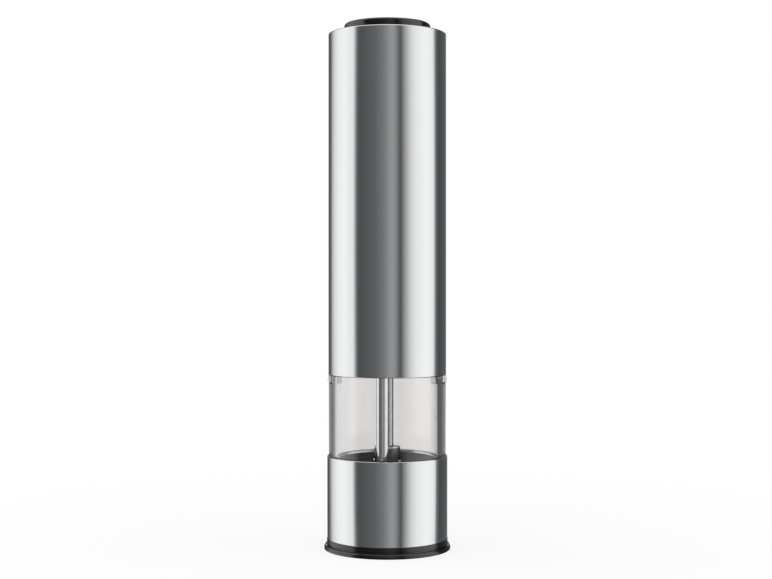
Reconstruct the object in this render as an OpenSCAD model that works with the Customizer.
// Battery pepper mill, standing upright on its dust cap.
//
// Millimetres. The origin is the centre of the dust cap's underside and +Z is up.
// The mill turns about the Z axis. The lamp tube inside the chamber is on the -Y side.
// From the bottom: dust cap, grinder in its steel sleeve, clear pepper chamber, then the
// power unit (gearbox, motor, six cells, switch) under a steel sleeve with a push button.

/* [Dust cap] */
// Diameter of the flange that shows under the mill
cap_d = 53.7; // [53:0.1:60]
// Height of the flange's outer edge
cap_edge_h = 1.4; // [0.8:0.1:1.6]
// Height of the flange where the mill stands on it
cap_h = 2.5; // [2.2:0.1:5]
// Thickness of the cap's floor
cap_floor = 1.6; // [1:0.1:2]
// Height of the ring that plugs into the mill, above the flange
cap_plug_h = 4.5; // [3:0.1:5]

/* [Steel sleeves] */
// Outer diameter of the long upper sleeve
upper_sleeve_d = 50; // [49.8:0.1:50.4]
// Length of the upper sleeve
upper_sleeve_h = 144.3; // [143:0.1:180]
// Outer diameter of the short lower sleeve
lower_sleeve_d = 51; // [50.8:0.1:52]
// Length of the lower sleeve
lower_sleeve_h = 34.8; // [34:0.1:50]
// Thickness of the steel
steel_t = 0.6; // [0.4:0.05:0.8]
// Radius of the upper sleeve's rounded top edge
sleeve_round = 0.9; // [0.7:0.1:1.5]

/* [Pepper chamber] */
// Height of the chamber that shows between the sleeves
chamber_h = 34.4; // [24:0.1:60]
// Diameter of the chamber at the foot of its clear wall
chamber_d = 50.4; // [50:0.1:50.6]
// Diameter of the chamber's bore
chamber_bore_d = 42.8; // [42:0.1:43]
// Height of the collar under the upper sleeve
collar_h = 3.2; // [2:0.1:5]
// Height of the bayonet neck inside the upper sleeve
neck_h = 5.2; // [5:0.1:6]

/* [Grinder] */
// Height of the black ring between the dust cap and the lower sleeve
foot_ring_h = 2; // [1:0.1:4]
// Depth of the hopper's funnel
funnel_depth = 7.3; // [6.5:0.1:9]
// Radius of the funnel's throat
throat_r = 10.9; // [10.5:0.1:11.2]
// Outer diameter of the ceramic ring burr
burr_d = 26.8; // [26:0.1:26.8]
// Height of the ring burr
burr_h = 16; // [15:0.1:16.5]
// Gap between the burrs at the coarsest setting
grind_gap = 0.4; // [0.3:0.05:0.6]
// Rise of the inner burr over the adjuster's whole turn
adjust_rise = 0.9; // [0.3:0.1:1]

/* [Drive shaft and lamp tube] */
// Diameter of the drive shaft
shaft_d = 5.2; // [5:0.1:6.2]
// Width of the square end that drives the inner burr
square_w = 4; // [3.6:0.1:4.2]
// Diameter of the feed hub on the shaft
hub_d = 10.9; // [10:0.1:13]
// Height of the feed hub
hub_h = 7.8; // [7:0.1:10]
// Outer diameter of the lamp tube
tube_d = 5; // [4.4:0.1:5]
// Distance of the lamp tube from the mill's axis
tube_reach = 17.1; // [17:0.1:17.3]
// Direction of the lamp tube about the axis
tube_angle = -96.4; // [-110:0.1:-80]

/* [Gears] */
// Gear module of both planetary stages
gear_module = 0.5; // [0.42:0.01:0.5]
// Face width of the planet gears in the slow, output stage
slow_face = 4.5; // [3:0.1:6]
// Face width of the planet gears in the fast, motor stage
fast_face = 4; // [3:0.1:6]
// Backlash at each gear's pitch circle
backlash = 0.12; // [0.1:0.01:0.2]

/* [Motor and cells] */
// Diameter of the motor's can
motor_d = 24.4; // [20:0.1:29.2]
// Length of the motor's can
motor_h = 28; // [26:0.1:32]
// Diameter of one cell
cell_d = 10.5; // [10:0.1:10.8]
// Length of one cell with its positive tip
cell_h = 44.5; // [42:0.1:45]
// Radius of the circle on which the cells stand
cell_reach = 15.6; // [15.2:0.1:16]

/* [Button] */
// Diameter of the push button
button_d = 36.6; // [30:0.1:36.8]
// Height of the button above the steel
button_rise = 4.5; // [3:0.1:6]
// Travel of the button
button_travel = 2.5; // [1:0.1:2.6]

/* [Hidden] */
// Smoothness of circles
$fn = 96;

// Clearances: a press fit, a shaft in its bearing, parts that sit in each other, and parts that
// move past each other
press_gap = 0.02;
running_gap = 0.05;
seat_gap = 0.1;
free_gap = 0.3;

// Walls
moulded_wall = 1.6;
thin_wall = 1;

// Levels, from the ground up
foot_z = cap_h;
lower_z = foot_z + foot_ring_h;
lower_top_z = lower_z + lower_sleeve_h;
upper_z = lower_top_z + chamber_h;
steel_top_z = upper_z + upper_sleeve_h;
button_top_z = steel_top_z + button_rise;

// Dust cap
cap_r = cap_d / 2;
cap_ledge = 0.35;
cap_round = 0.25;
cap_plug_top = cap_h + cap_plug_h;

// Grinder housing, from the sleeve inwards
lower_r = lower_sleeve_d / 2;
lower_bore_r = lower_r - steel_t;
foot_ring_r = lower_r + 0.14;
housing_r = lower_bore_r - seat_gap;
housing_bore_r = housing_r - moulded_wall;
cap_plug_r = housing_bore_r - free_gap;
chamber_bore_r = chamber_bore_d / 2;
rim_z = lower_top_z - 1;
rim_r = chamber_bore_r - 0.1;
rim_inner_r = rim_r - 0.5;
seat_z = lower_top_z - 3;
throat_z = rim_z - funnel_depth;
funnel_slope = (rim_inner_r - throat_r) / funnel_depth;
funnel_wall_h = 2.3;

// Burrs
burr_r = burr_d / 2;
burr_bore_r = burr_r + seat_gap;
burr_seat_r = burr_bore_r + moulded_wall;
burr_top = throat_z - 0.6;
burr_z = burr_top - burr_h;
burr_mouth_r = throat_r + 0.2;
fine_h = 5;
fine_top_r = burr_mouth_r - 1.2;
inner_burr_z = burr_z + 0.1;
inner_burr_top = burr_top - adjust_rise - 0.4;
spring_well_z = inner_burr_z + 8;
coarse_teeth = 8;
fine_teeth = 24;

// Plate that closes the grinder from below
plate_t = 2;
burr_step_h = 4;
plate_top = burr_z - burr_step_h;
plate_z = plate_top - plate_t;
plate_r = housing_bore_r - seat_gap;
outlet_r = burr_r - 1.8;
plate_hub_r = 5;
plate_hub_z = plate_z - 1;
spoke_w = 2.4;
spokes = 3;

// Adjuster and its washer
stud_r = 3;
stud_top = inner_burr_z - 1.05;
washer_z = stud_top + 0.05;
washer_top = inner_burr_z - 0.05;
washer_r = 5.2;
knob_r = 9;
knob_top = plate_hub_z - adjust_rise - free_gap;
knob_z = knob_top - 3;
knob_grips = 12;

// Drive shaft and what it carries
shaft_r = shaft_d / 2;
journal_r = 1.7;
journal_z = stud_top - 3.2;
square_top = spring_well_z + 1.2;
clip_z = throat_z - 0.8;
clip_t = 0.6;
clip_r = shaft_r + 1.1;
clip_groove_r = shaft_r - 0.6;
burr_spring_r = shaft_r + 0.7;
spring_well_r = shaft_r + 1.3;
inner_burr_top_r = spring_well_r + 1.1;
bush_z = throat_z + 0.2;
bush_top = throat_z + 4.3;
bush_r = shaft_r + running_gap + 1.2;
bush_boss_r = bush_r + 1.5;
spider_top = throat_z + 2.6;
spider_r = burr_seat_r - 0.2;
spider_w = 2;
hub_z = bush_top + free_gap;
hub_top = hub_z + hub_h;
hub_r = hub_d / 2;
hub_cup_r = hub_r - 1.15;
hub_cup_h = 1.5;
pin_z = hub_z + 1.3;
pin_r = 0.9;
pin_len = hub_d + 1.7;
pin_angle = -25;

// Lamp tube
tube_r = tube_d / 2;
tube_wall = 0.35;
tube_bore_r = tube_r - tube_wall;
tube_z = plate_top + 2.6;
tube_top = upper_z - 1.1;
lamp_boss_r = tube_r + 1.5;
lamp_boss_top = rim_z - 1.5;
lamp_r = tube_r;
lamp_flange_r = lamp_r + 0.4;
lamp_flange_z = plate_top + 0.1;
lens_z = plate_z - 0.6;
plug_z = tube_top - 6;
plug_top = tube_top + 0.7;
contact_spread = 1;
contact_pin_r = 0.45;
lamp_wire_r = 0.5;

// Screws
screws = 3;
screw_r = 0.9;
screw_head_r = 1.9;
screw_boss_r = 2.4;
plate_screw_reach = 19.3;
plate_screw_angle = tube_angle + 60;

// Chamber
chamber_r = chamber_d / 2;
chamber_top_r = chamber_r - 0.37;
collar_r = chamber_r - 0.11;
collar_top = upper_z - 0.1;
collar_z = collar_top - collar_h;
chamber_spigot_r = lower_bore_r - 0.15;
neck_r = chamber_bore_r + 1.5;
neck_top = collar_top + neck_h;
stop_lug_reach = 1.8;
stop_lug_w = 5;
stop_lug_angle = -8;
bayonet_lugs = 3;
bayonet_angle = 30;
lug_reach = neck_r + 1;
lug_z = collar_top + 1.9;
lug_h = 2;
lug_w = 4.6;

// Base of the power unit, which turns on the chamber's neck
upper_r = upper_sleeve_d / 2;
upper_bore_r = upper_r - steel_t;
base_z = upper_z + 0.2;
base_floor = 2;
base_floor_r = chamber_bore_r - free_gap;
base_cup_r = base_floor_r - moulded_wall;
seal_z = neck_top + seat_gap;
seal_t = 1;
flange_z = seal_z + seal_t + seat_gap;
flange_t = 2.4;
flange_top = flange_z + flange_t;
skirt_r = upper_bore_r - 0.35;
skirt_bore_r = neck_r + free_gap;
lock_turn = 25;
slot_spare = 3;
track_t = 0.4;
track_w = 0.7;

// Gearbox: teeth of the sun, planet and ring gears, which all share one module
sun_teeth = 12;
planet_teeth = 24;
ring_teeth = 60;
planets = 3;
addendum = 0.8 * gear_module;
dedendum = 1.1 * gear_module;
pressure_angle = 20;
planet_reach = gear_module * (sun_teeth + planet_teeth) / 2;
ring_root_r = gear_module * ring_teeth / 2 + dedendum;
gearbox_r = ring_root_r + 1.8;
gearbox_z = base_z + base_floor + seat_gap;
gearbox_floor = 1.5;
carrier_r = planet_reach + 3.4;
carrier_t = 1.5;
planet_bore_r = 1.06;
planet_pin_r = 1;
face_gap = 0.4;
slow_plate_z = gearbox_z + gearbox_floor + 0.5;
slow_z = slow_plate_z + carrier_t + face_gap;
fast_plate_z = slow_z + slow_face + 1.2;
fast_z = fast_plate_z + carrier_t + face_gap;
gearbox_top = fast_z + fast_face + 1.1;
motor_plate_t = 2;
motor_z = gearbox_top + motor_plate_t;
ear_angle = tube_angle + 60;
ear_reach = 19.6;
ear_r = 2.6;

// Dog clutch between the drive shaft and the gearbox
dog_bore_r = shaft_r + 0.2;
socket_r = dog_bore_r + 1.5;
socket_z = base_z + 0.3;
tang_z = socket_z + 0.4;
tang_top = socket_z + 4.8;
tang_t = 1.4;
tang_r = shaft_r - 0.2;
dog_w = 1.2;
dog_reach = 1.8;

// Motor
motor_r = motor_d / 2;
motor_wall = 0.7;
motor_top = motor_z + motor_h;
axle_r = 1;
nose_r = 3;
end_cap_t = 2.8;
armature_r = motor_r - 3.4;
armature_z = motor_z + 4.4;
armature_h = motor_h - 9;
magnet_t = 1.9;

// Chassis over the gearbox and the motor
chassis_r = upper_bore_r - 0.5;
chassis_t = 1.5;
chassis_top = motor_top + 13.6;
chassis_hole_r = 7.5;

// Cell holder
cells = 6;
cell_r = cell_d / 2;
cell_tip_r = 1.9;
cell_tip_h = 0.8;
holder_r = chassis_r - 0.1;
holder_z = chassis_top;
holder_plate = 2.2;
bay_z = holder_z + holder_plate;
spring_end = 2.6;
tip_end = 1;
bay_top = bay_z + spring_end + cell_h + tip_end;
holder_top = bay_top + holder_plate;
bay_r = cell_r + free_gap;
core_r = cell_reach + 5.4;
core_bore_r = 7.5;
strip_t = 0.3;

// Switch
switch_w = 18;
switch_d = 14;
switch_top = holder_top + 10;
plunger_r = 2.5;
plunger_flange_r = 3.6;
plunger_z = holder_top + 4.6;
leaf_w = 2.4;
wire_r = 0.6;
lead_r = 0.45;
lead_reach = gearbox_r + 1.1;

// Button, its ring and its guide
button_r = button_d / 2;
button_wall = 1.6;
button_top_t = 2.2;
button_edge = 1.1;
button_crown = 0.3;
button_lip_r = button_r + 1.5;
button_z = button_top_z - 11;
button_lip_top = button_z + 2.7;
bezel_r = button_r + 1;
bezel_top = steel_top_z + 0.3;
ring_step_z = button_lip_top + free_gap;
ring_z = guide_top();
guide_t = 1.5;
guide_seat = 2;
stem_r = 3;
stem_gap = 0.3;
plunger_top = ring_z - guide_t - guide_seat;
stem_z = plunger_top + stem_gap;
return_spring_r = 7.2;
return_wire_r = 0.45;

// The guide plate leaves the button room to travel
function guide_top() = button_z - button_travel - 1.5;

// Direction of each cell, and whether its positive tip points up
function cell_angle(i) = i * 360 / cells;
function tip_up(i) = i % 2 == 0;

// ---------------------------------------------------------------- helpers

// A round bar between two levels
module disc(r, z0, z1) {
    translate([0, 0, z0])
        cylinder(r = r, h = z1 - z0);
}

// A tube between two levels
module ring(r_out, r_in, z0, z1) {
    difference() {
        disc(r_out, z0, z1);
        disc(r_in, z0 - 1, z1 + 1);
    }
}

// A box centred on X and Y, between two levels
module block(x, y, z0, z1) {
    translate([-x / 2, -y / 2, z0])
        cube([x, y, z1 - z0]);
}

// A lathe-turned solid from [radius, level] points
module turned(points) {
    rotate_extrude()
        polygon(points);
}

// Children moved out to a radius, in a direction
module out_at(radius, angle) {
    rotate([0, 0, angle])
        translate([radius, 0, 0])
            children();
}

// Children repeated around the axis
module around(count, radius, start = 0) {
    for (i = [0 : count - 1])
        out_at(radius, start + i * 360 / count)
            children();
}

// Children at the lamp tube's place
module at_tube() {
    out_at(tube_reach, tube_angle)
        children();
}

// A wedge of a circle in the XY plane, centred on a direction
module sector(r, angle, width) {
    polygon(concat(
        [[0, 0]],
        [for (i = [0 : 6]) r * [cos(angle + width * (i / 6 - 0.5)), sin(angle + width * (i / 6 - 0.5))]]
    ));
}

// Points of an arc, from one angle to another
function arc(cx, cy, r, from, to, steps = 6) =
    [for (i = [0 : steps]) [cx + r * cos(from + (to - from) * i / steps),
                            cy + r * sin(from + (to - from) * i / steps)]];

// Rings of points along a path, each ring square to the path
function unit(v) = v / norm(v);
function path_way(path, i) =
    unit(path[min(i + 1, len(path) - 1)] - path[max(i - 1, 0)]);
function side_way(way) = unit(cross(way, abs(way[2]) > 0.9 ? [1, 0, 0] : [0, 0, 1]));
function ring_points(path, r, sides) =
    [for (i = [0 : len(path) - 1])
        let (way = path_way(path, i), u = side_way(way), v = cross(way, u))
            for (k = [0 : sides - 1])
                path[i] + r * (u * cos(k * 360 / sides) + v * sin(k * 360 / sides))];

// A wire swept along a path of points
module wire(path, r, sides = 8) {
    last = (len(path) - 1) * sides;
    polyhedron(
        points = ring_points(path, r, sides),
        faces = concat(
            [[for (k = [0 : sides - 1]) k]],
            [for (i = [0 : len(path) - 2], k = [0 : sides - 1])
                let (a = i * sides, n = (k + 1) % sides)
                    [a + k, a + sides + k, a + sides + n, a + n]],
            [[for (k = [sides - 1 : -1 : 0]) last + k]]
        )
    );
}

// A coil spring's centre line: closed end turns, open turns between
function coil(r0, r1, z0, z1, turns, steps = 14) =
    [for (i = [0 : turns * steps])
        let (t = i / (turns * steps), r = r0 + (r1 - r0) * t)
            [r * cos(i * 360 / steps), r * sin(i * 360 / steps), z0 + (z1 - z0) * t]];

// Half the angle that a gear tooth covers at a radius, from the involute of its base circle
function involute(a) = tan(a) * 180 / PI - a;
function tooth_half(teeth, r, play) =
    let (pitch_r = gear_module * teeth / 2, base_r = pitch_r * cos(pressure_angle))
        90 / teeth + involute(pressure_angle) - involute(acos(min(1, base_r / r)))
        - play / (2 * pitch_r) * 180 / PI;

// A gear's outline; a ring gear's bore is one with a tooth's play added
function gear_points(teeth, r_root, r_tip, play, steps = 2) =
    [for (i = [0 : teeth - 1])
        let (mid = i * 360 / teeth)
            each concat(
                [for (s = [0 : steps])
                    let (r = r_root + (r_tip - r_root) * s / steps, a = mid - tooth_half(teeth, r, play))
                        r * [cos(a), sin(a)]],
                [for (s = [steps : -1 : 0])
                    let (r = r_root + (r_tip - r_root) * s / steps, a = mid + tooth_half(teeth, r, play))
                        r * [cos(a), sin(a)]]
            )];

module gear(teeth, z0, face, turn = 0) {
    pitch_r = gear_module * teeth / 2;
    translate([0, 0, z0])
        rotate([0, 0, turn])
            linear_extrude(face)
                polygon(gear_points(teeth, pitch_r - dedendum, pitch_r + addendum, backlash));
}

// ---------------------------------------------------------------- dust cap

module dust_cap() {
    color("#1b1c1d")
        turned([
            [0, 0],
            [cap_r - cap_round, 0],
            [cap_r, cap_round],
            [cap_r, cap_edge_h],
            [cap_r - cap_ledge, cap_edge_h + 0.1],
            [cap_r - cap_ledge - 0.15, cap_edge_h + 0.4],
            [foot_ring_r + 0.25, cap_h],
            [cap_plug_r, cap_h],
            [cap_plug_r, cap_plug_top - 0.4],
            [cap_plug_r - 0.4, cap_plug_top],
            [cap_plug_r - thin_wall, cap_plug_top],
            [cap_plug_r - thin_wall, cap_floor],
            [0, cap_floor]
        ]);
}

// ---------------------------------------------------------------- grinder

// Radius of the funnel's inner face at a level
function funnel_r(z) = throat_r + (z - throat_z) * funnel_slope;

module grinder_housing() {
    under_z = throat_z + (burr_seat_r - throat_r) / funnel_slope - funnel_wall_h;
    shoulder_z = seat_z - 2;
    under_r = throat_r + (shoulder_z + funnel_wall_h - throat_z) * funnel_slope;
    color("#18191a")
        difference() {
            union() {
                turned([
                    [housing_bore_r, foot_z],
                    [foot_ring_r, foot_z],
                    [foot_ring_r, lower_z],
                    [housing_r, lower_z],
                    [housing_r, seat_z],
                    [rim_r, seat_z],
                    [rim_r, rim_z],
                    [rim_inner_r, rim_z],
                    [throat_r, throat_z],
                    [throat_r, burr_top],
                    [burr_bore_r, burr_top],
                    [burr_bore_r, plate_top],
                    [burr_seat_r, plate_top],
                    [burr_seat_r, under_z],
                    [under_r, shoulder_z],
                    [housing_bore_r, shoulder_z]
                ]);
                // Spider that holds the shaft's bush in the throat
                disc(bush_boss_r, bush_z, spider_top + 1);
                for (i = [0 : spokes - 1])
                    rotate([0, 0, tube_angle + 60 + i * 120])
                        translate([0, -spider_w / 2, bush_z])
                            cube([spider_r, spider_w, spider_top - bush_z]);
                // Boss around the lamp tube
                at_tube()
                    disc(lamp_boss_r, plate_top, lamp_boss_top);
                // Screw bosses
                around(screws, plate_screw_reach, plate_screw_angle)
                    disc(screw_boss_r, plate_top, shoulder_z + 0.5);
            }
            disc(bush_r, bush_z - 1, rim_z);
            disc(burr_bore_r, plate_top - 1, burr_top);
            at_tube() {
                disc(tube_r + running_gap, tube_z, rim_z);
                disc(lamp_flange_r + seat_gap, plate_top - 1, tube_z);
            }
            around(screws, plate_screw_reach, plate_screw_angle)
                disc(screw_r, plate_top - 1, plate_top + 8);
        }
}

module lower_sleeve() {
    edge = 0.45;
    color("#c3c6c8")
        turned([
            [lower_bore_r, lower_z],
            [lower_r - 0.15, lower_z],
            [lower_r, lower_z + 0.15],
            [lower_r, lower_top_z - edge],
            [lower_r - edge * 0.3, lower_top_z - edge * 0.3],
            [lower_r - edge, lower_top_z],
            [lower_bore_r, lower_top_z]
        ]);
}

module bottom_plate() {
    color("#232425")
        difference() {
            union() {
                ring(plate_r, outlet_r, plate_z, plate_top);
                ring(burr_r, outlet_r, plate_z, burr_z);
                disc(plate_hub_r, plate_hub_z, plate_top + 0.6);
                for (i = [0 : spokes - 1])
                    rotate([0, 0, plate_screw_angle + i * 120])
                        translate([0, -spoke_w / 2, plate_z])
                            cube([outlet_r + 0.5, spoke_w, plate_t]);
            }
            disc(stud_r + running_gap, plate_hub_z - 1, plate_top + 2);
            at_tube()
                disc(lamp_r + seat_gap, plate_z - 1, plate_top + 1);
            around(screws, plate_screw_reach, plate_screw_angle) {
                disc(screw_r + 0.2, plate_z - 1, plate_top + 1);
                disc(screw_head_r + seat_gap, plate_z - 1, plate_z + 0.9);
            }
        }
}

// A pan-head screw, head down or up
module screw(z_seat, length, head_h, up) {
    mirror([0, 0, up ? 0 : 1])
        translate([0, 0, up ? z_seat : -z_seat])
            difference() {
                union() {
                    disc(screw_head_r, 0, head_h);
                    disc(screw_r, -length, 0.1);
                }
                block(2.2, 0.5, head_h - 0.5, head_h + 1);
                block(0.5, 2.2, head_h - 0.5, head_h + 1);
            }
}

module plate_screws() {
    color("#a9acae")
        around(screws, plate_screw_reach, plate_screw_angle)
            screw(plate_z + 0.9, 8, 0.8, false);
}

module outer_burr() {
    color("#e9e6df")
        difference() {
            turned([
                [burr_mouth_r, burr_z],
                [burr_r - 0.4, burr_z],
                [burr_r, burr_z + 0.4],
                [burr_r, burr_top - 0.1],
                [burr_mouth_r, burr_top - 0.1],
                [fine_top_r, burr_z + fine_h]
            ]);
            // Fine teeth below, coarse teeth above
            around(fine_teeth, fine_top_r + 0.5, 0)
                rotate([0, 13, 0])
                    block(1.5, 0.8, burr_z - 2, burr_z + fine_h);
            around(coarse_teeth * 2, fine_top_r + 0.5, 0)
                rotate([0, 4, 12])
                    block(1.6, 1.4, burr_z + fine_h - 1, burr_top + 1);
        }
}

module pepper_chamber() {
    color([0.9, 0.92, 0.93, 0.35]) {
        turned([
            [chamber_bore_r, seat_z],
            [chamber_spigot_r, seat_z],
            [chamber_spigot_r, lower_top_z + 0.05],
            [chamber_r - 0.25, lower_top_z + 0.05],
            [chamber_r, lower_top_z + 0.4],
            [chamber_top_r, collar_z - 0.6],
            [chamber_top_r, collar_z],
            [collar_r - 0.1, collar_z],
            [collar_r, collar_z + 0.1],
            [collar_r, collar_top - 0.15],
            [collar_r - 0.15, collar_top],
            [neck_r, collar_top],
            [neck_r, neck_top - 0.3],
            [neck_r - 0.3, neck_top],
            [chamber_bore_r, neck_top]
        ]);
        // Bayonet lugs on the neck
        around(bayonet_lugs, 0, bayonet_angle)
            translate([neck_r - 0.5, -lug_w / 2, lug_z])
                cube([lug_reach - neck_r + 0.5, lug_w, lug_h]);
        // Two stops inside the collar
        around(2, 0, stop_lug_angle)
            translate([chamber_bore_r - stop_lug_reach, -stop_lug_w / 2, collar_z - 0.2])
                cube([stop_lug_reach + 0.5, stop_lug_w, collar_h + 0.2]);
    }
}

module shaft_bush() {
    color("#b08d57")
        ring(bush_r, shaft_r + running_gap, bush_z, bush_top);
}

module lamp_tube() {
    color("#cfd2d4")
        at_tube()
            ring(tube_r, tube_bore_r, tube_z, tube_top);
}

module lamp_plug() {
    color("#e5e3dc")
        at_tube() {
            disc(tube_bore_r, plug_z, tube_top);
            disc(tube_r, tube_top, plug_top - 0.4);
            for (side = [-1, 1])
                translate([side * contact_spread, 0, 0])
                    disc(contact_pin_r, plug_top - 0.5, plug_top);
        }
}

module lamp_wires() {
    color("#b3282d")
        at_tube()
            for (side = [-1, 1])
                translate([side * 0.8, 0, 0])
                    disc(lamp_wire_r, lamp_flange_z + 1.1, plug_z);
}

module led_lamp() {
    color("#f2f4f6")
        at_tube()
            rotate_extrude()
                polygon(concat(
                    [[0, lamp_flange_z + 1.1], [0, plate_z + 0.1]],
                    arc(0, plate_z + 1.1 + lamp_r - 1, lamp_r, -75, 0, 5),
                    [[lamp_r, lamp_flange_z], [lamp_flange_r, lamp_flange_z],
                     [lamp_flange_r, lamp_flange_z + 1.1]]
                ));
}

module lamp_lens() {
    color([0.95, 0.96, 1, 0.5])
        at_tube()
            difference() {
                disc(lamp_flange_r + 0.6, lens_z, plate_z);
                disc(lamp_flange_r - 0.6, lens_z + 0.4, plate_z + 1);
            }
}

module drive_shaft() {
    color("#d3d5d6")
        difference() {
            union() {
                disc(journal_r, journal_z, washer_top);
                intersection() {
                    block(square_w, square_w, washer_top, square_top);
                    disc(shaft_r, washer_top, square_top);
                }
                disc(shaft_r, square_top, tang_z);
                intersection() {
                    block(2 * tang_r, tang_t, tang_z, tang_top);
                    disc(tang_r, tang_z, tang_top);
                }
            }
            ring(shaft_r + 1, clip_groove_r, clip_z, clip_z + clip_t);
            translate([0, 0, pin_z])
                rotate([0, 90, pin_angle])
                    cylinder(r = pin_r, h = pin_len + 2, center = true);
        }
}

module feed_hub() {
    color("#3c3d3f")
        difference() {
            turned([
                [shaft_r + press_gap, hub_z],
                [hub_r - 0.3, hub_z],
                [hub_r, hub_z + 0.3],
                [hub_r, hub_top - 0.3],
                [hub_r - 0.3, hub_top],
                [hub_cup_r, hub_top],
                [hub_cup_r, hub_top - hub_cup_h],
                [shaft_r + press_gap, hub_top - hub_cup_h]
            ]);
            translate([0, 0, pin_z])
                rotate([0, 90, pin_angle])
                    cylinder(r = pin_r, h = pin_len + 2, center = true);
            // Key slot down the hub's front
            rotate([0, 0, -62])
                translate([hub_r - 0.5, -0.6, hub_z - 1])
                    cube([2, 1.2, 4.4]);
        }
}

module hub_pin() {
    color("#dfe1e2")
        translate([0, 0, pin_z])
            rotate([0, 90, pin_angle])
                cylinder(r = pin_r, h = pin_len, center = true);
}

module shaft_clip() {
    color("#8f9496")
        difference() {
            ring(clip_r, clip_groove_r, clip_z, clip_z + clip_t);
            translate([0, -1.3, clip_z - 1])
                cube([clip_r + 1, 2.6, 3]);
        }
}

module burr_spring() {
    color("#b9bdbf")
        wire(coil(burr_spring_r, burr_spring_r, spring_well_z + 0.4, clip_z - 0.4, 5), 0.35, 6);
}

module inner_burr() {
    taper = (fine_top_r - grind_gap - inner_burr_top_r) / (inner_burr_top - inner_burr_z - fine_h);
    color("#efece5")
        difference() {
            turned([
                [0, inner_burr_z],
                [burr_mouth_r - grind_gap, inner_burr_z],
                [fine_top_r - grind_gap, inner_burr_z + fine_h],
                [inner_burr_top_r, inner_burr_top],
                [spring_well_r, inner_burr_top],
                [spring_well_r, spring_well_z],
                [0, spring_well_z]
            ]);
            block(square_w + 0.2, square_w + 0.2, inner_burr_z - 1, spring_well_z + 1);
            // Fine teeth below, coarse spiral teeth above
            around(fine_teeth, fine_top_r - grind_gap + 0.2, 5)
                rotate([0, 13, 0])
                    block(1.2, 0.8, inner_burr_z - 2, inner_burr_z + fine_h - 0.5);
            around(coarse_teeth, fine_top_r - grind_gap - 0.4, 0)
                rotate([-28, -14, 0])
                    block(2.4, 1.6, inner_burr_z + fine_h - 3, inner_burr_z + fine_h + 4);
        }
}

module thrust_washer() {
    color("#b5a276")
        ring(washer_r, square_w * 0.75, washer_z, washer_top);
}

module adjuster_knob() {
    color("#2b2c2e")
        difference() {
            union() {
                disc(knob_r, knob_z, knob_top);
                disc(stud_r, knob_z, stud_top);
            }
            around(knob_grips, knob_r + 0.8, 0)
                disc(1.6, knob_z - 1, knob_top + 1);
            disc(journal_r + running_gap, journal_z - adjust_rise - 0.8, stud_top + 1);
            // Coin slot
            block(12, 1.6, knob_z - 1, knob_z + 1);
        }
}

// ---------------------------------------------------------------- base of the power unit

module chamber_seal() {
    color("#3a3a3a")
        ring(neck_r - 0.1, chamber_bore_r + 0.1, seal_z, seal_z + seal_t);
}

module unit_base() {
    track_angle = tube_angle - lock_turn / 2;
    color("#1d1e1f")
        difference() {
            union() {
                disc(base_floor_r, base_z, base_z + base_floor);
                ring(base_floor_r, base_cup_r, base_z, flange_top);
                ring(skirt_r, gearbox_r + free_gap, flange_z, flange_top);
                ring(skirt_r, skirt_bore_r, base_z + 0.2, flange_top);
            }
            disc(socket_r + free_gap, base_z - 1, base_z + base_floor + 1);
            // Bayonet slots: a way in from below, then a way round
            for (i = [0 : bayonet_lugs - 1]) {
                lug_angle = bayonet_angle + i * 360 / bayonet_lugs;
                half = asin(lug_w / 2 / neck_r) + slot_spare;
                translate([0, 0, base_z - 1])
                    linear_extrude(lug_z + lug_h + free_gap - base_z + 1)
                        difference() {
                            sector(skirt_r + 3, lug_angle, 2 * half);
                            circle(r = neck_r + 0.1);
                        }
                translate([0, 0, lug_z - free_gap])
                    linear_extrude(lug_h + 2 * free_gap)
                        difference() {
                            sector(skirt_r + 3, lug_angle - lock_turn / 2, 2 * half + lock_turn);
                            circle(r = neck_r + 0.1);
                        }
            }
            // Grooves for the lamp's contact tracks
            for (side = [-1, 1])
                translate([0, 0, base_z - 1])
                    linear_extrude(1 + track_t)
                        track(side, track_angle);
            around(screws, ear_reach, ear_angle)
                disc(screw_r, flange_z - 1, flange_top + 1);
            // Way through the flange for the lamp's leads
            lead_slot(flange_z - 1, flange_top + 1);
        }
}

// Room for the leads that run up from the lamp's contacts
module lead_slot(z0, z1) {
    rotate([0, 0, tube_angle])
        translate([lead_reach - 1, -2, z0])
            cube([2, 4, z1 - z0]);
}

// One of the two curved lamp contacts, in plan
module track(side, angle) {
    mid_r = tube_reach + side * contact_spread;
    intersection() {
        difference() {
            circle(r = mid_r + track_w / 2);
            circle(r = mid_r - track_w / 2);
        }
        sector(mid_r + 3, angle, lock_turn + 16);
    }
}

module contact_tracks() {
    color("#c9a24a")
        for (side = [-1, 1])
            translate([0, 0, base_z])
                linear_extrude(track_t)
                    track(side, tube_angle - lock_turn / 2);
}

// ---------------------------------------------------------------- gearbox

module ring_gear() {
    color("#d9d6cc")
        difference() {
            union() {
                disc(gearbox_r, gearbox_z, gearbox_top);
                // Ears that screw to the base's flange
                for (i = [0 : screws - 1])
                    rotate([0, 0, ear_angle + i * 360 / screws]) {
                        translate([gearbox_r - 2, -ear_r, flange_top])
                            cube([ear_reach - gearbox_r + 2, 2 * ear_r, 2]);
                        translate([ear_reach, 0, 0])
                            disc(ear_r, flange_top, flange_top + 2);
                    }
            }
            disc(socket_r + running_gap, gearbox_z - 1, gearbox_z + gearbox_floor + 1);
            translate([0, 0, gearbox_z + gearbox_floor])
                rotate([0, 0, 180 / ring_teeth])
                    linear_extrude(gearbox_top - gearbox_z)
                        polygon(gear_points(
                            ring_teeth, ring_root_r - dedendum - addendum, ring_root_r, -backlash));
            around(screws, ear_reach, ear_angle)
                disc(screw_r + 0.2, flange_top - 1, flange_top + 3);
        }
}

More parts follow.
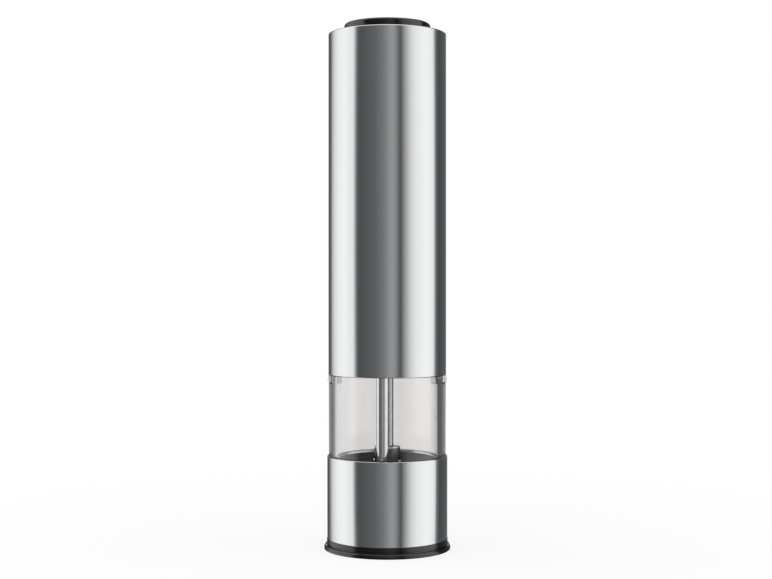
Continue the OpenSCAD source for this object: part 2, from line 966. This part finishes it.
module planet_pins(z0, z1) {
    around(planets, planet_reach, 0)
        disc(planet_pin_r, z0, z1);
}

// Output carrier: its socket takes the drive shaft's tang between two dogs
module slow_carrier() {
    color("#c9c5b8")
        difference() {
            union() {
                disc(carrier_r, slow_plate_z, slow_plate_z + carrier_t);
                disc(socket_r, socket_z, slow_plate_z + 0.5);
                planet_pins(slow_plate_z, slow_z + slow_face + 0.7);
            }
            difference() {
                disc(dog_bore_r, socket_z - 1, tang_top + free_gap);
                for (side = [-1, 1])
                    translate([-dog_w / 2, side * (dog_reach + 2) - 2, socket_z + 0.4])
                        cube([dog_w, 4, tang_top]);
            }
        }
}

module slow_planet(i) {
    color("#ece9df")
        out_at(planet_reach, i * 360 / planets)
            difference() {
                gear(planet_teeth, slow_z, slow_face, 180 / planet_teeth);
                disc(planet_bore_r, slow_z - 1, slow_z + slow_face + 1);
            }
}

module fast_carrier() {
    color("#c9c5b8") {
        disc(carrier_r, fast_plate_z, fast_plate_z + carrier_t);
        planet_pins(fast_plate_z, fast_z + fast_face + 0.5);
        gear(sun_teeth, slow_z, fast_plate_z - slow_z + 0.5);
    }
}

module fast_planet(i) {
    color("#ece9df")
        out_at(planet_reach, i * 360 / planets)
            difference() {
                gear(planet_teeth, fast_z, fast_face, 180 / planet_teeth);
                disc(planet_bore_r, fast_z - 1, fast_z + fast_face + 1);
            }
}

module sun_pinion() {
    color("#c8a75a")
        difference() {
            gear(sun_teeth, fast_z + 0.1, fast_face + 0.3);
            disc(axle_r, fast_z - 1, fast_z + fast_face + 2);
        }
}

module motor_plate() {
    color("#b9bcbe")
        difference() {
            disc(gearbox_r, gearbox_top, motor_z);
            disc(nose_r + running_gap, gearbox_top - 1, motor_z + 1);
            around(2, 8, 90)
                disc(screw_r + 0.2, gearbox_top - 1, motor_z + 1);
        }
}

module unit_screws() {
    color("#a9acae") {
        around(screws, ear_reach, ear_angle)
            screw(flange_top + 2, 4.2, 1.2, true);
        around(2, 8, 90)
            screw(gearbox_top - 0.05, motor_plate_t + 0.9, 0.5, false);
    }
}

// ---------------------------------------------------------------- motor

module motor_can() {
    color("#aeb2b4")
        difference() {
            union() {
                disc(motor_r, motor_z, motor_top);
                disc(nose_r, gearbox_top + 0.2, motor_z + 0.1);
            }
            disc(motor_r - motor_wall, motor_z + 1, motor_top + 1);
            disc(axle_r + running_gap, gearbox_top - 1, motor_top);
            around(2, 8, 90)
                disc(screw_r, motor_z - 1, motor_z + 2);
        }
}

module motor_magnets() {
    magnet_r = motor_r - motor_wall - running_gap;
    color("#4a4b4d")
        for (side = [0, 180])
            translate([0, 0, armature_z - 0.5])
                linear_extrude(armature_h + 1)
                    intersection() {
                        difference() {
                            circle(r = magnet_r);
                            circle(r = magnet_r - magnet_t);
                        }
                        sector(motor_r + 8, side, 120);
                    }
}

module armature() {
    core_top = armature_z + armature_h * 0.72;
    color("#b4703a")
        difference() {
            union() {
                // Three poles of stacked sheet steel, with their windings
                intersection() {
                    ring(armature_r, axle_r, armature_z + 2, core_top - 2);
                    union() {
                        for (i = [0 : 2])
                            rotate([0, 0, i * 120]) {
                                translate([0, -1.6, armature_z])
                                    cube([armature_r, 3.2, armature_h]);
                                translate([armature_r - 1.6, -5.5, armature_z])
                                    cube([3, 11, armature_h]);
                            }
                    }
                }
                for (i = [0 : 2])
                    rotate([0, 0, i * 120])
                        translate([1.5, -3.2, armature_z + 0.8])
                            cube([armature_r - 3.4, 6.4, core_top - armature_z - 1.6]);
                // Commutator
                disc(2.6, core_top - 2, armature_z + armature_h);
            }
            disc(axle_r, armature_z - 1, armature_z + armature_h + 1);
        }
}

module motor_axle() {
    color("#d3d5d6")
        disc(axle_r, fast_z + 0.1, motor_top + end_cap_t - 0.4);
}

module motor_end_cap() {
    color("#efe9d8")
        difference() {
            union() {
                disc(motor_r - 0.1, motor_top, motor_top + end_cap_t - 1);
                disc(3.2, motor_top, motor_top + end_cap_t);
                for (side = [-1, 1])
                    translate([side * 7.5, 0, 0])
                        block(0.6, 2.4, motor_top, motor_top + 5);
            }
            disc(axle_r + running_gap, motor_top - 1, motor_top + end_cap_t - 0.3);
        }
}

// ---------------------------------------------------------------- chassis and cells

module chassis() {
    color("#1e1f20")
        difference() {
            union() {
                ring(chassis_r, chassis_r - chassis_t, flange_top, chassis_top);
                disc(chassis_r, chassis_top - 2, chassis_top);
                // Web that steadies the motor
                ring(chassis_r - 0.5, motor_r + 0.2, motor_z + 3, motor_z + 5);
                ring(motor_r + 1.6, motor_r + 0.2, motor_z + 3, motor_z + 12);
            }
            disc(chassis_hole_r, chassis_top - 3, chassis_top + 1);
            lead_slot(motor_z, motor_z + 8);
            // Cooling windows
            around(6, chassis_r, 0)
                block(6, 9, motor_z + 8, motor_top - 2);
        }
}

module cell_holder() {
    color("#262729")
        difference() {
            union() {
                disc(holder_r, holder_z, bay_z);
                disc(core_r, bay_z, bay_top);
                disc(holder_r, bay_top, holder_top);
            }
            disc(core_bore_r, holder_z - 1, holder_top + 1);
            for (i = [0 : cells - 1])
                out_at(cell_reach, cell_angle(i)) {
                    disc(bay_r, bay_z, bay_top);
                    translate([0, -bay_r + 0.6, bay_z])
                        cube([12, 2 * bay_r - 1.2, bay_top - bay_z]);
                }
        }
}

// A cell from its foot, with the positive tip on top
module cell_body() {
    cylinder(r = cell_r, h = cell_h - cell_tip_h - 0.3);
    translate([0, 0, cell_h - cell_tip_h - 0.3])
        cylinder(r = cell_r - 0.6, h = 0.3);
    translate([0, 0, cell_h - cell_tip_h])
        cylinder(r = cell_tip_r, h = cell_tip_h);
}

module cell(i) {
    color(tip_up(i) ? "#3f6f4c" : "#3f5f7c")
        out_at(cell_reach, cell_angle(i))
            if (tip_up(i))
                translate([0, 0, bay_z + spring_end])
                    cell_body();
            else
                translate([0, 0, bay_top - spring_end])
                    mirror([0, 0, 1])
                        cell_body();
}

module cell_springs() {
    color("#c4c7c9")
        for (i = [0 : cells - 1])
            out_at(cell_reach, cell_angle(i))
                if (tip_up(i))
                    wire(coil(4, 2.2, bay_z + strip_t + 0.35, bay_z + spring_end - 0.35, 3, 12), 0.3, 6);
                else
                    wire(coil(4, 2.2, bay_top - strip_t - 0.35, bay_top - spring_end + 0.35, 3, 12), 0.3, 6);
}

// Contact strips: each end of the holder links cells in pairs, and the last two ends stay open
module cell_plates() {
    color("#cfd2d3") {
        for (i = [0 : cells - 1]) {
            out_at(cell_reach, cell_angle(i)) {
                disc(4.8, bay_z, bay_z + strip_t);
                disc(4.8, bay_top - strip_t, bay_top);
                if (tip_up(i))
                    disc(1.6, bay_top - tip_end, bay_top);
                else
                    disc(1.6, bay_z, bay_z + tip_end);
            }
        }
    }
}

// ---------------------------------------------------------------- switch and wiring

module switch_body() {
    pocket_top = switch_top - 1.6;
    color("#2f3133")
        difference() {
            union() {
                block(switch_w, switch_d, holder_top, switch_top);
                ring(plunger_r + 1.4, plunger_r + 0.1, switch_top - 0.5, switch_top + 1);
            }
            disc(plunger_r + 0.1, holder_top + 1, switch_top + 2);
            disc(plunger_flange_r + 0.3, holder_top + 1.2, pocket_top);
        }
}

module switch_plunger() {
    color("#c9cbcc") {
        disc(plunger_flange_r, plunger_z, plunger_z + 1.4);
        disc(plunger_r, plunger_z, plunger_top);
    }
}

module switch_leaves() {
    color("#c9a24a")
        for (side = [-1, 1])
            translate([side * (switch_w / 2 + 0.2), 0, 0]) {
                block(0.4, leaf_w, holder_top, holder_top + 7);
                translate([side * 0.9, 0, 0])
                    block(2.2, leaf_w, holder_top, holder_top + 0.4);
            }
}

module unit_wires() {
    color("#a3262a") {
        // From the motor's two terminals up through the holder's core to the switch
        for (side = [-1, 1]) {
            wire([
                [side * 7.5, 0, motor_top + 5.1],
                [side * 7.5, 0, motor_top + 7],
                [side * 6.6, 0, motor_top + 9],
                [side * 5.4, 0, motor_top + 11],
                [side * 4.8, 0, chassis_top],
                [side * 4.6, 0, holder_z + 20],
                [side * 4.6, 0, holder_z + 40],
                [side * 5, 0, holder_top - 0.2]
            ], wire_r);
            // From the lamp's contacts up past the gearbox and the motor
            rotate([0, 0, tube_angle])
                wire([
                    [lead_reach, side, base_z + base_floor + 0.1],
                    [lead_reach, side, motor_z],
                    [lead_reach - 0.4, side, motor_top - 4],
                    [lead_reach - 2.4, side, motor_top + 4],
                    [10, side, motor_top + 8.5],
                    [6.2, side, chassis_top - 1],
                    [5.6, side, chassis_top + 4],
                    [5.4, side, holder_z + 30],
                    [5.4, side, holder_top - 0.2]
                ], lead_r);
        }
    }
}

// ---------------------------------------------------------------- upper sleeve and button

module upper_sleeve() {
    color("#c8cbcd")
        turned(concat(
            [[upper_bore_r, upper_z], [upper_r - 0.1, upper_z], [upper_r, upper_z + 0.1]],
            arc(upper_r - sleeve_round, steel_top_z - sleeve_round, sleeve_round, 0, 90),
            [[bezel_r, steel_top_z], [bezel_r, steel_top_z - steel_t],
             [upper_bore_r - 0.3, steel_top_z - steel_t], [upper_bore_r, steel_top_z - steel_t - 0.3]]
        ));
}

module top_ring() {
    ring_r = upper_bore_r - 0.05;
    color("#151617")
        turned([
            [button_lip_r + free_gap, ring_z],
            [ring_r, ring_z],
            [ring_r, steel_top_z - steel_t - 0.4],
            [ring_r - 0.35, steel_top_z - steel_t - 0.05],
            [bezel_r - 0.05, steel_top_z - steel_t - 0.05],
            [bezel_r - 0.05, bezel_top - 0.1],
            [bezel_r - 0.15, bezel_top],
            [button_r + free_gap, bezel_top],
            [button_r + free_gap, ring_step_z],
            [button_lip_r + free_gap, ring_step_z]
        ]);
}

module button_guide() {
    color("#232425")
        difference() {
            union() {
                disc(upper_bore_r - 0.05, ring_z - guide_t, ring_z);
                ring(stem_r + 1.6, stem_r + 0.1, ring_z - guide_t - 1.5, ring_z);
            }
            disc(stem_r + 0.1, ring_z - guide_t - 3, ring_z + 1);
        }
}

module push_button() {
    side_top = button_top_z - button_crown;
    color("#131415") {
        turned(concat(
            [[button_r - button_wall, button_z], [button_lip_r, button_z],
             [button_lip_r, button_lip_top], [button_r, button_lip_top]],
            arc(button_r - button_edge, side_top - button_edge, button_edge, 0, 80, 5),
            [[button_r * 0.5, button_top_z - button_crown * 0.3],
             [0, button_top_z],
             [0, button_top_z - button_top_t - button_crown],
             [button_r - button_wall, button_top_z - button_top_t - button_crown]]
        ));
        disc(stem_r, stem_z, button_top_z - button_top_t);
    }
}

module button_spring() {
    under = button_top_z - button_top_t - button_crown;
    color("#b9bdbf")
        wire(coil(return_spring_r, return_spring_r, ring_z + return_wire_r + 0.05,
                  under - return_wire_r - 0.05, 5), return_wire_r, 6);
}

// ---------------------------------------------------------------- what is drawn

dust_cap();
grinder_housing();
lower_sleeve();
bottom_plate();
plate_screws();
outer_burr();
pepper_chamber();
shaft_bush();
lamp_tube();
lamp_plug();
lamp_wires();
led_lamp();
lamp_lens();
drive_shaft();
feed_hub();
hub_pin();
shaft_clip();
burr_spring();
inner_burr();
thrust_washer();
adjuster_knob();
chamber_seal();
unit_base();
contact_tracks();
ring_gear();
motor_plate();
unit_screws();
motor_can();
motor_magnets();
motor_end_cap();
chassis();
cell_holder();
cell(0);  // cell_1
cell(1);  // cell_2
cell(2);  // cell_3
cell(3);  // cell_4
cell(4);  // cell_5
cell(5);  // cell_6
cell_springs();
cell_plates();
switch_body();
switch_leaves();
unit_wires();
slow_carrier();
slow_planet(0);  // slow_planet_1
slow_planet(1);  // slow_planet_2
slow_planet(2);  // slow_planet_3
fast_carrier();
fast_planet(0);  // fast_planet_1
fast_planet(1);  // fast_planet_2
fast_planet(2);  // fast_planet_3
motor_axle();
sun_pinion();
armature();
switch_plunger();
upper_sleeve();
top_ring();
button_guide();
push_button();
button_spring();
